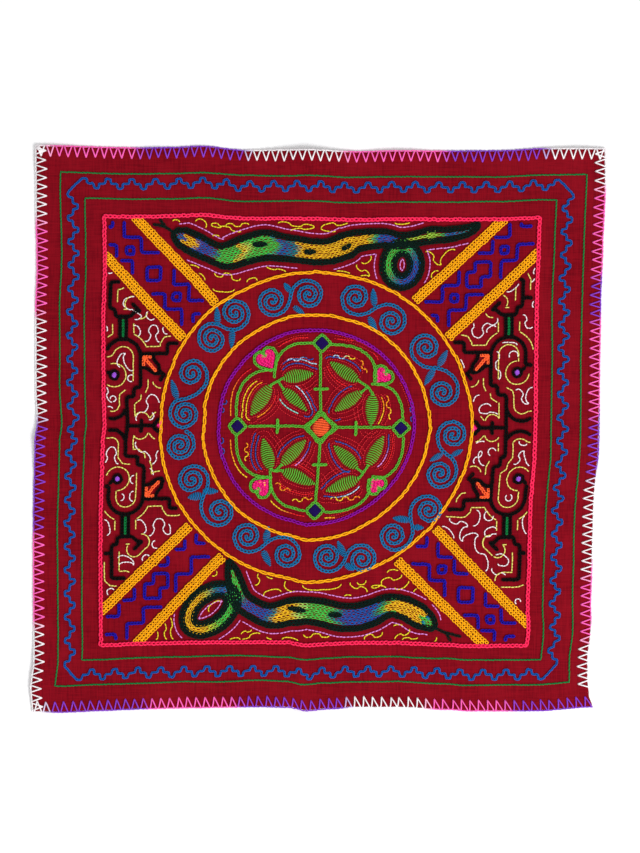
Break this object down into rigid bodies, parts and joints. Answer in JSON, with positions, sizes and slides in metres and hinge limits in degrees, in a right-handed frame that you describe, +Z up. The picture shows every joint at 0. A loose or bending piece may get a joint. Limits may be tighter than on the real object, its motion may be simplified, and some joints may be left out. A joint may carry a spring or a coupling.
{
  "type": "embroidered cloth",
  "caption": "Square red cotton cloth, hand embroidered with a ringed medallion, spirals, serpents and a stepped border, with a blanket-stitched edge.",
  "frame": {"origin": "under the middle of the cloth, on the surface that it lies on", "axes": "+Z up out of the embroidered face, +Y towards the top of the design, +X to its right"},
  "size_m": [0.5128, 0.5057, 0.0065],
  "materials": {
    "cotton_red": "matt plain weave",
    "yarn_pink": "soft spun yarn",
    "yarn_orange": "soft spun yarn",
    "yarn_purple": "soft spun yarn",
    "yarn_green": "soft spun yarn",
    "yarn_blue": "soft spun yarn",
    "yarn_bottle_green": "soft spun yarn",
    "yarn_edging": "soft spun yarn in changing colours",
    "yarn_variegated": "soft spun yarn in changing colours",
    "yarn_teal": "soft spun yarn",
    "yarn_violet": "soft spun yarn",
    "yarn_black": "soft spun yarn",
    "yarn_lemon": "soft spun yarn",
    "yarn_white": "soft spun yarn",
    "yarn_lilac": "soft spun yarn",
    "yarn_leaf_green": "soft spun yarn",
    "yarn_rose": "soft spun yarn",
    "yarn_coral": "soft spun yarn",
    "yarn_mauve": "soft spun yarn"
  },
  "bodies": {
    "root": {"cloth": "cotton_red", "edge_yarn": "yarn_edging", "border_line_outer": "yarn_green", "border_line_inner": "yarn_green", "border_wave": "yarn_blue", "frame_band": "yarn_pink", "ring_outer": "yarn_orange", "ring_inner": "yarn_orange", "ring_purple": "yarn_purple", "serpent_top": "yarn_bottle_green", "serpent_bottom": "yarn_bottle_green", "band_left_top_upper": "yarn_orange", "band_left_top_lower": "yarn_orange", "band_left_bottom_upper": "yarn_orange", "band_left_bottom_lower": "yarn_orange", "band_right_top_upper": "yarn_orange", "band_right_top_lower": "yarn_orange", "band_right_bottom_upper": "yarn_orange", "band_right_bottom_lower": "yarn_orange"}
  },
  "joints": []
}
